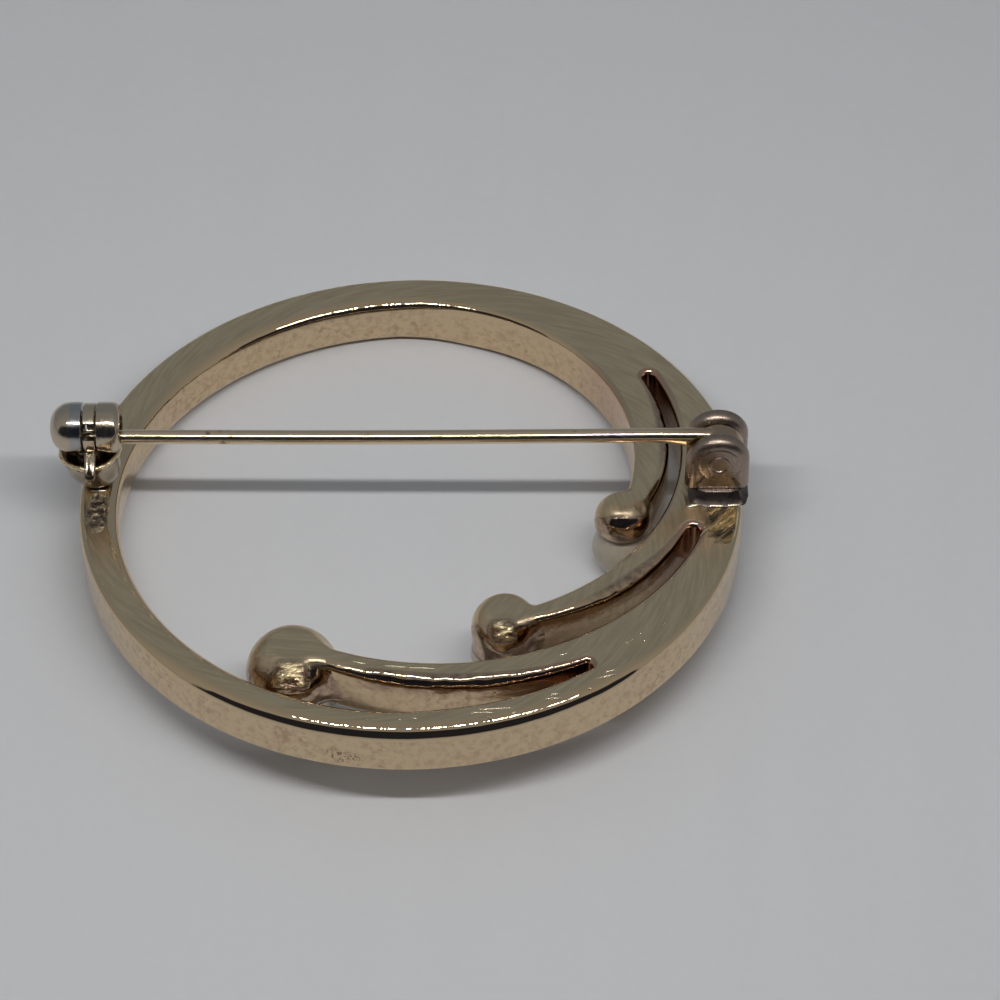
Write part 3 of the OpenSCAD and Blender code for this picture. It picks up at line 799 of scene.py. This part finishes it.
# Catch: a domed cap and two cheeks on a flared foot, with a turning roller between the cheeks

catch = {
    "axis": (-16.95, 0.97, 3.74), "radius": 1.34, "left": -1.84, "right": 1.84, "capEnd": -0.81,
    "dome": (1.1, 0.24),      # the cap's depth, and the radius of its flat end
    "channel": 0.95, "rollerAt": 0.25, "rollerWidth": 0.62, "gap": 0.09, "mouth": 20, "mouthHalf": 22,
    "rollerGap": 150, "rollerGapHalf": 21, "tabAngle": -146, "tabReach": 2.9, "tabThick": 0.36, "tabBow": 0.24,
    "foot": (-16.55, 1.0), "lean": 0.34, "beadRadius": 1.54, "beadThick": 0.11, "beadAt": 2.13,
    # (height, radius) of the foot
    "footProfile": [(-0.02, 0.62), (0.05, 0.6), (0.12, 0.72), (0.22, 0.92), (0.4, 1.12), (0.7, 1.3),
                    (1.1, 1.42), (1.6, 1.49), (1.86, 1.5), (1.92, 1.55), (1.99, 1.59), (2.07, 1.6),
                    (2.14, 1.575), (2.19, 1.51), (2.2, 1.42), (2.17, 1.2), (2.12, 0.95), (2.2, 0.82),
                    (2.5, 0.8), (2.7, 0.7)],
}


def makeCatchFoot():
    footX, footY = catch["foot"]
    points, faces = turnedPart(catch["footProfile"], (footX, footY, 0), 2, 96)
    wide = fromCircle(points, (footX, footY, 0))
    about = np.arctan2(points[:, 1] - footY, points[:, 0] - footX)
    # wavy stains on the bowl
    stainAndShade = np.clip(0.3 + 0.4 * np.sin(5 * about + 2.5) * np.sin(3.5 * points[:, 2] + 0.5), 0, 0.7)
    # painted shade in the hollow inside the rim and round the foot's base
    stainAndShade = np.where((points[:, 2] > 2.08) & (wide < 1.5) | (points[:, 2] < 0.2), 0.9, stainAndShade)
    points[:, 0] -= catch["lean"] * np.clip(points[:, 2] / 2, 0, 1)
    addPiece("catchSeat", (points, faces), metals["catchGold"], 45, None, {"stainAndShade": stainAndShade})

    # Rim: a thin bead of solder round the foot's edge, its radius, thickness and height by sums of sines
    rows, columns = 120, 12
    about, turn = allRound(rows)[:, None], allRound(columns)[None]
    thick = catch["beadThick"] + 0.02 * np.sin(7 * about + 1) + 0.012 * np.sin(17 * about)
    far = catch["beadRadius"] + 0.03 * np.sin(5 * about + 2) + thick * np.cos(turn)
    bead = np.stack([footX - catch["lean"] + far * np.cos(about), footY + far * np.sin(about),
                     catch["beadAt"] + 0.02 * np.sin(9 * about) + thick * np.sin(turn)], -1)
    faces = gridFaces(rows + 1, columns)[:, ::-1] % (rows * columns)     # the last row meets the first
    addPiece("catchRim", (bead.reshape(-1, 3), [faces]), metals["rimGold"], 60)


def cheekPart(start, end, roundA, roundB):  # a wall of the case, open where the pin goes in
    r, channel = catch["radius"], catch["channel"]
    section = roundedProfile([(start, channel), (start, r), (end, r), (end, channel)], [roundA, roundB])
    return openRingPart(section[::-1], catch["axis"], 0, catch["mouth"] + catch["mouthHalf"],
                        catch["mouth"] + 360 - catch["mouthHalf"])


def makeCatchCase():
    r, left, capEnd = catch["radius"], catch["left"], catch["capEnd"]
    depth, flat = catch["dome"]
    dome = [(left + depth * (1 - math.cos(t)), flat + (r - flat) * math.sin(t))
            for t in np.linspace(0.02, math.pi / 2, 16)]
    cap = turnedPart(dome + [(capEnd - 0.03, r), (capEnd, r - 0.03), (capEnd, 0.2)], catch["axis"], 0, 72)
    beside = catch["rollerWidth"] / 2 + catch["gap"]
    addPiece("catchCase", joinParts([cap, cheekPart(catch["rollerAt"] + beside, catch["right"], 0.05, 0.5)]),
             metals["catchMetal"], 45)
    # the left cheek's grey colour paints a bluish reflection band on the case
    addPiece("catchCheek", cheekPart(capEnd + 0.03, catch["rollerAt"] - beside, 0.04, 0.05),
             metals["cheekReflectionGrey"], 45)


def makeRoller():  # a C-shaped disc with a thumb tab, its gap to the front while the pin is locked in
    half, channel = catch["rollerWidth"] / 2, catch["channel"]
    middle = np.array(catch["axis"]) + [catch["rollerAt"], 0, 0]
    rim = catch["radius"] - 0.05
    section = roundedProfile([(-half, channel), (-half, rim), (half, rim), (half, channel)], [0.07, 0.07])
    disc = openRingPart(section[::-1], middle, 0, catch["rollerGap"] - 360 + catch["rollerGapHalf"],
                        catch["rollerGap"] - catch["rollerGapHalf"])
    t = math.radians(catch["tabAngle"])
    outWay, upWay = np.array([0, math.cos(t), math.sin(t)]), np.array([0, -math.sin(t), math.cos(t)])
    reach = catch["tabReach"] - channel - 0.1
    start = middle + outWay * (channel + 0.1 + reach / 2) + upWay * -0.17
    outline = softRectangle(half * 1.85, reach, 0.28, 12)
    tabPoints, tabFaces = slabPart(outline, edgeProfile(catch["tabThick"], 0.12, 0.06), start,
                                   [-ways[0], outWay, -upWay])
    along = (tabPoints - start) @ outWay      # bowed by the square of the distance along it from its middle
    tabPoints = tabPoints + np.outer(catch["tabBow"] * along * along, upWay)
    # the tab darker towards its end: painted shade
    stainAndShade = np.concatenate([np.zeros(len(disc[0])), 0.85 * np.clip((along + 0.15) / 0.5, 0, 1)])
    addPiece("catchRoller", joinParts([disc, (tabPoints, tabFaces)]), metals["rollerMetal"], 45,
             "catch_roller", {"stainAndShade": stainAndShade}, "roller")


makeCatchFoot()
makeCatchCase()
makeRoller()

# Scratches: burrs with a round back along short lines on the flat back, raised in the middle

scratches = {      # each is x and y in the picture, length in its pixels and angle
    "at": [(470, 712.5, 24, 0), (478, 709.5, 34, 3), (486, 715, 9, -35), (512, 713, 5, 10), (545, 698.5, 17, 2),
           (551, 694.5, 9, 8), (597, 678, 20, 12), (604, 672.5, 14, 14), (588, 688, 4, 0), (624, 643, 6, 12),
           (631, 640, 3, 0), (640, 634, 3, 60), (643, 641, 3, 0), (663, 625, 4, 30), (411, 718, 6, -8),
           (399, 720, 2, 0), (366, 720, 2, 0), (351, 661.5, 15, -8), (384, 665.5, 22, -4), (408, 667.5, 27, -2),
           (700, 536, 16, 48), (711, 528, 15, 44), (560, 655, 8, 12)],
    # Beads of solder, with how much broader and higher they are
    "beads": [(91, 491, 16, 1, 2.2), (686, 507.5, 17, 12, 3.5), (699, 505.3, 30, -2, 2.6),
              (722, 505.6, 20, 2, 3.0)],
    "height": 0.04, "width": 0.09,
}


def makeScratches():
    # Along each line, t from 0 to 1: height and half width both follow the square root of sin(pi t).
    # Across it, half a circle, closed by a flat underside just below the back
    t = np.linspace(0.03, 0.97, 12)
    a = np.linspace(0, math.pi, 7)[None, :, None]
    swell = np.sin(math.pi * t)[:, None, None] ** 0.5
    parts = []
    for px, py, length, angle, broad in [(*line, 1.0) for line in scratches["at"]] + scratches["beads"]:
        start = seenAt(px, py)
        end = seenAt(px + length * math.cos(math.radians(angle)), py - length * math.sin(math.radians(angle)))
        way = (end - start) / np.linalg.norm(end - start)
        side = np.array([-way[1], way[0], 0])
        line = start + (end - start) * t[:, None]
        band = line[:, None] + broad * scratches["width"] / 2 * swell * np.cos(a) * side
        band = band + broad * scratches["height"] * swell * np.sin(a) * np.array([0, 0, 1.0])
        under = band[:, ::-1] * [1, 1, 0] - [0, 0, 0.02]
        tube = np.concatenate([band, under], 1)
        flat = np.concatenate([tube.reshape(-1, 3), tube[0].mean(0)[None], tube[-1].mean(0)[None]])
        parts.append((flat, tubeFaces(*tube.shape[:2])))
    addPiece("backScratches", joinParts(parts), burr, 70)


# Camera at the place worked out from the photograph's outlines

camera = {
    "focal": 140.92, "sensor": 36, "elevation": 43.3, "roll": -0.693, "turn": 0.77,
    "distance": 206.11, "aim": (4.709, -0.755),
}


def seenAt(px, py):  # the place on the back that shows at a point of the 1000 x 1000 picture
    place, axes, about = cameraFrame()
    scale = camera["focal"] / camera["sensor"] * 1000
    way = axes.T @ np.array([(px - 500) / scale, (500 - py) / scale, -1])
    return about @ (place - way * place[2] / way[2])


def cameraFrame():  # place before the turn, rows right, up and back, and the turn
    e, roll, turn = (math.radians(camera[k]) for k in ("elevation", "roll", "turn"))
    back = np.array([0, -math.cos(e), math.sin(e)])
    right, up = np.array([1.0, 0, 0]), np.array([0, math.sin(e), math.cos(e)])
    axes = np.stack([math.cos(roll) * right + math.sin(roll) * up,
                     math.cos(roll) * up - math.sin(roll) * right, back])
    about = np.array([[math.cos(turn), -math.sin(turn), 0], [math.sin(turn), math.cos(turn), 0], [0, 0, 1]])
    return np.array([*camera["aim"], 0]) + back * camera["distance"], axes, about


def makeCamera():
    place, axes, about = cameraFrame()
    data = bpy.data.cameras.new("camera")
    data.lens, data.sensor_width = camera["focal"], camera["sensor"]
    data.clip_start, data.clip_end = 0.01, 10
    bpy.context.scene.camera = addObject("camera", data, turned @ about @ axes.T, layDown(about @ place))


makeCamera()
makeScratches()

# Floor and light

studio = {
    "floor": (0.72, 0.72, 0.728, 1),
    "keyAt": (0.0093, -0.0358, 0.0930), "keyPower": 4.7, "keySize": (0.115, 0.0036),
    # How many lamps the key has, where in its share each starts to glow, how bright, and the
    # middle of the row with the brightness there and at its ends
    "lamps": 34, "lampEdge": (0.26, 0.34), "lampGlow": 2.4, "keyMiddle": 0.42, "keyFade": (0.24, 0.36),
    "keyGlow": (1.3, 0.6),
    "farSky": (0.20, 0.225, 0.25, 1), "highSky": (0.26, 0.265, 0.27, 1), "nearSky": (0.34, 0.33, 0.315, 1),
    "shade": (0.018, 0.020, 0.028, 1), "shadeFrom": 0.65, "shadeSide": 2.6,
}


def makeFloor():
    mesh = bpy.data.meshes.new("floor")
    mesh.from_pydata([(-3, -3, 0), (3, -3, 0), (3, 3, 0), (-3, 3, 0)], [], [(0, 1, 2, 3)])
    floor = addObject("floor", mesh)
    material, tree, link, place = newMaterial("floorBoard", Roughness=0.55)
    grain = noiseNode(place, 1.4, 4.0)
    low, high = ([c * f for c in studio["floor"][:3]] + [1] for f in (0.98, 1.02))
    link(mixColour(grain, low, high), "Base Color")
    link(bumpNode(grain, 0.12, 0.05), "Normal")
    mesh.materials.append(material)


def makeKey():  # a row of small lamps close above the brooch, towards the viewer
    data = bpy.data.lights.new("key", "AREA")
    data.shape, data.size, data.size_y = "RECTANGLE", *studio["keySize"]
    data.energy = studio["keyPower"]
    data.use_nodes = True
    tree = data.node_tree
    glow = tree.nodes["Emission"]
    even = addNode(tree, "LightFalloff", {"Strength": 1.0})["Constant"]
    along = addNode(tree, "SeparateXYZ", {0: addNode(tree, "NewGeometry")["Parametric"]})[0]
    part = mathNode("FRACT", times(along, studio["lamps"]))
    lamp = rampNode(mathNode("PINGPONG", part, 0.5), *studio["lampEdge"], (0.0, studio["lampGlow"]))
    beside = mathNode("ABSOLUTE", minus(along, studio["keyMiddle"]))
    middle = rampNode(beside, *studio["keyFade"], studio["keyGlow"])
    strength = times(times(even, lamp), middle)
    tree.links.new(strength, glow.inputs["Strength"])
    way = np.array(studio["keyAt"]) / np.linalg.norm(studio["keyAt"])
    side = np.array([1.0, 0, 0]) - way * way[0]
    side /= np.linalg.norm(side)
    light = addObject("key", data, np.stack([side, np.cross(way, side), way], 1), studio["keyAt"])
    light.visible_camera = False


def makeWorld():  # dim all round, bluish at the far side, in shade low down at the viewer's side
    world = bpy.data.worlds.new("studio")
    bpy.context.scene.world = world
    world.use_nodes = True
    tree = world.node_tree
    x, y, z = addNode(tree, "SeparateXYZ", {0: addNode(tree, "TexCoord")["Generated"]})
    sky = mixColour(rampNode(y, -0.5, 0.6), studio["nearSky"], studio["farSky"])
    sky = mixColour(rampNode(z, 0.75, 1.0), sky, studio["highSky"])
    toward = times(y, -1.0)
    low = minus(toward, times(z, studio["shadeFrom"]))
    wide = times(toward, studio["shadeSide"])
    wide = minus(wide, mathNode("ABSOLUTE", x))
    shade = times(rampNode(low, 0.0, 0.1), rampNode(wide, 0.0, 0.15))
    sky = mixColour(shade, sky, studio["shade"])
    tree.links.new(sky, tree.nodes["Background"].inputs["Color"])
    tree.nodes["Background"].inputs["Strength"].default_value = 1.0


makeFloor()
makeWorld()
makeKey()
bpy.context.scene.view_settings.view_transform = "Standard"
print("set the camera, floor and light")
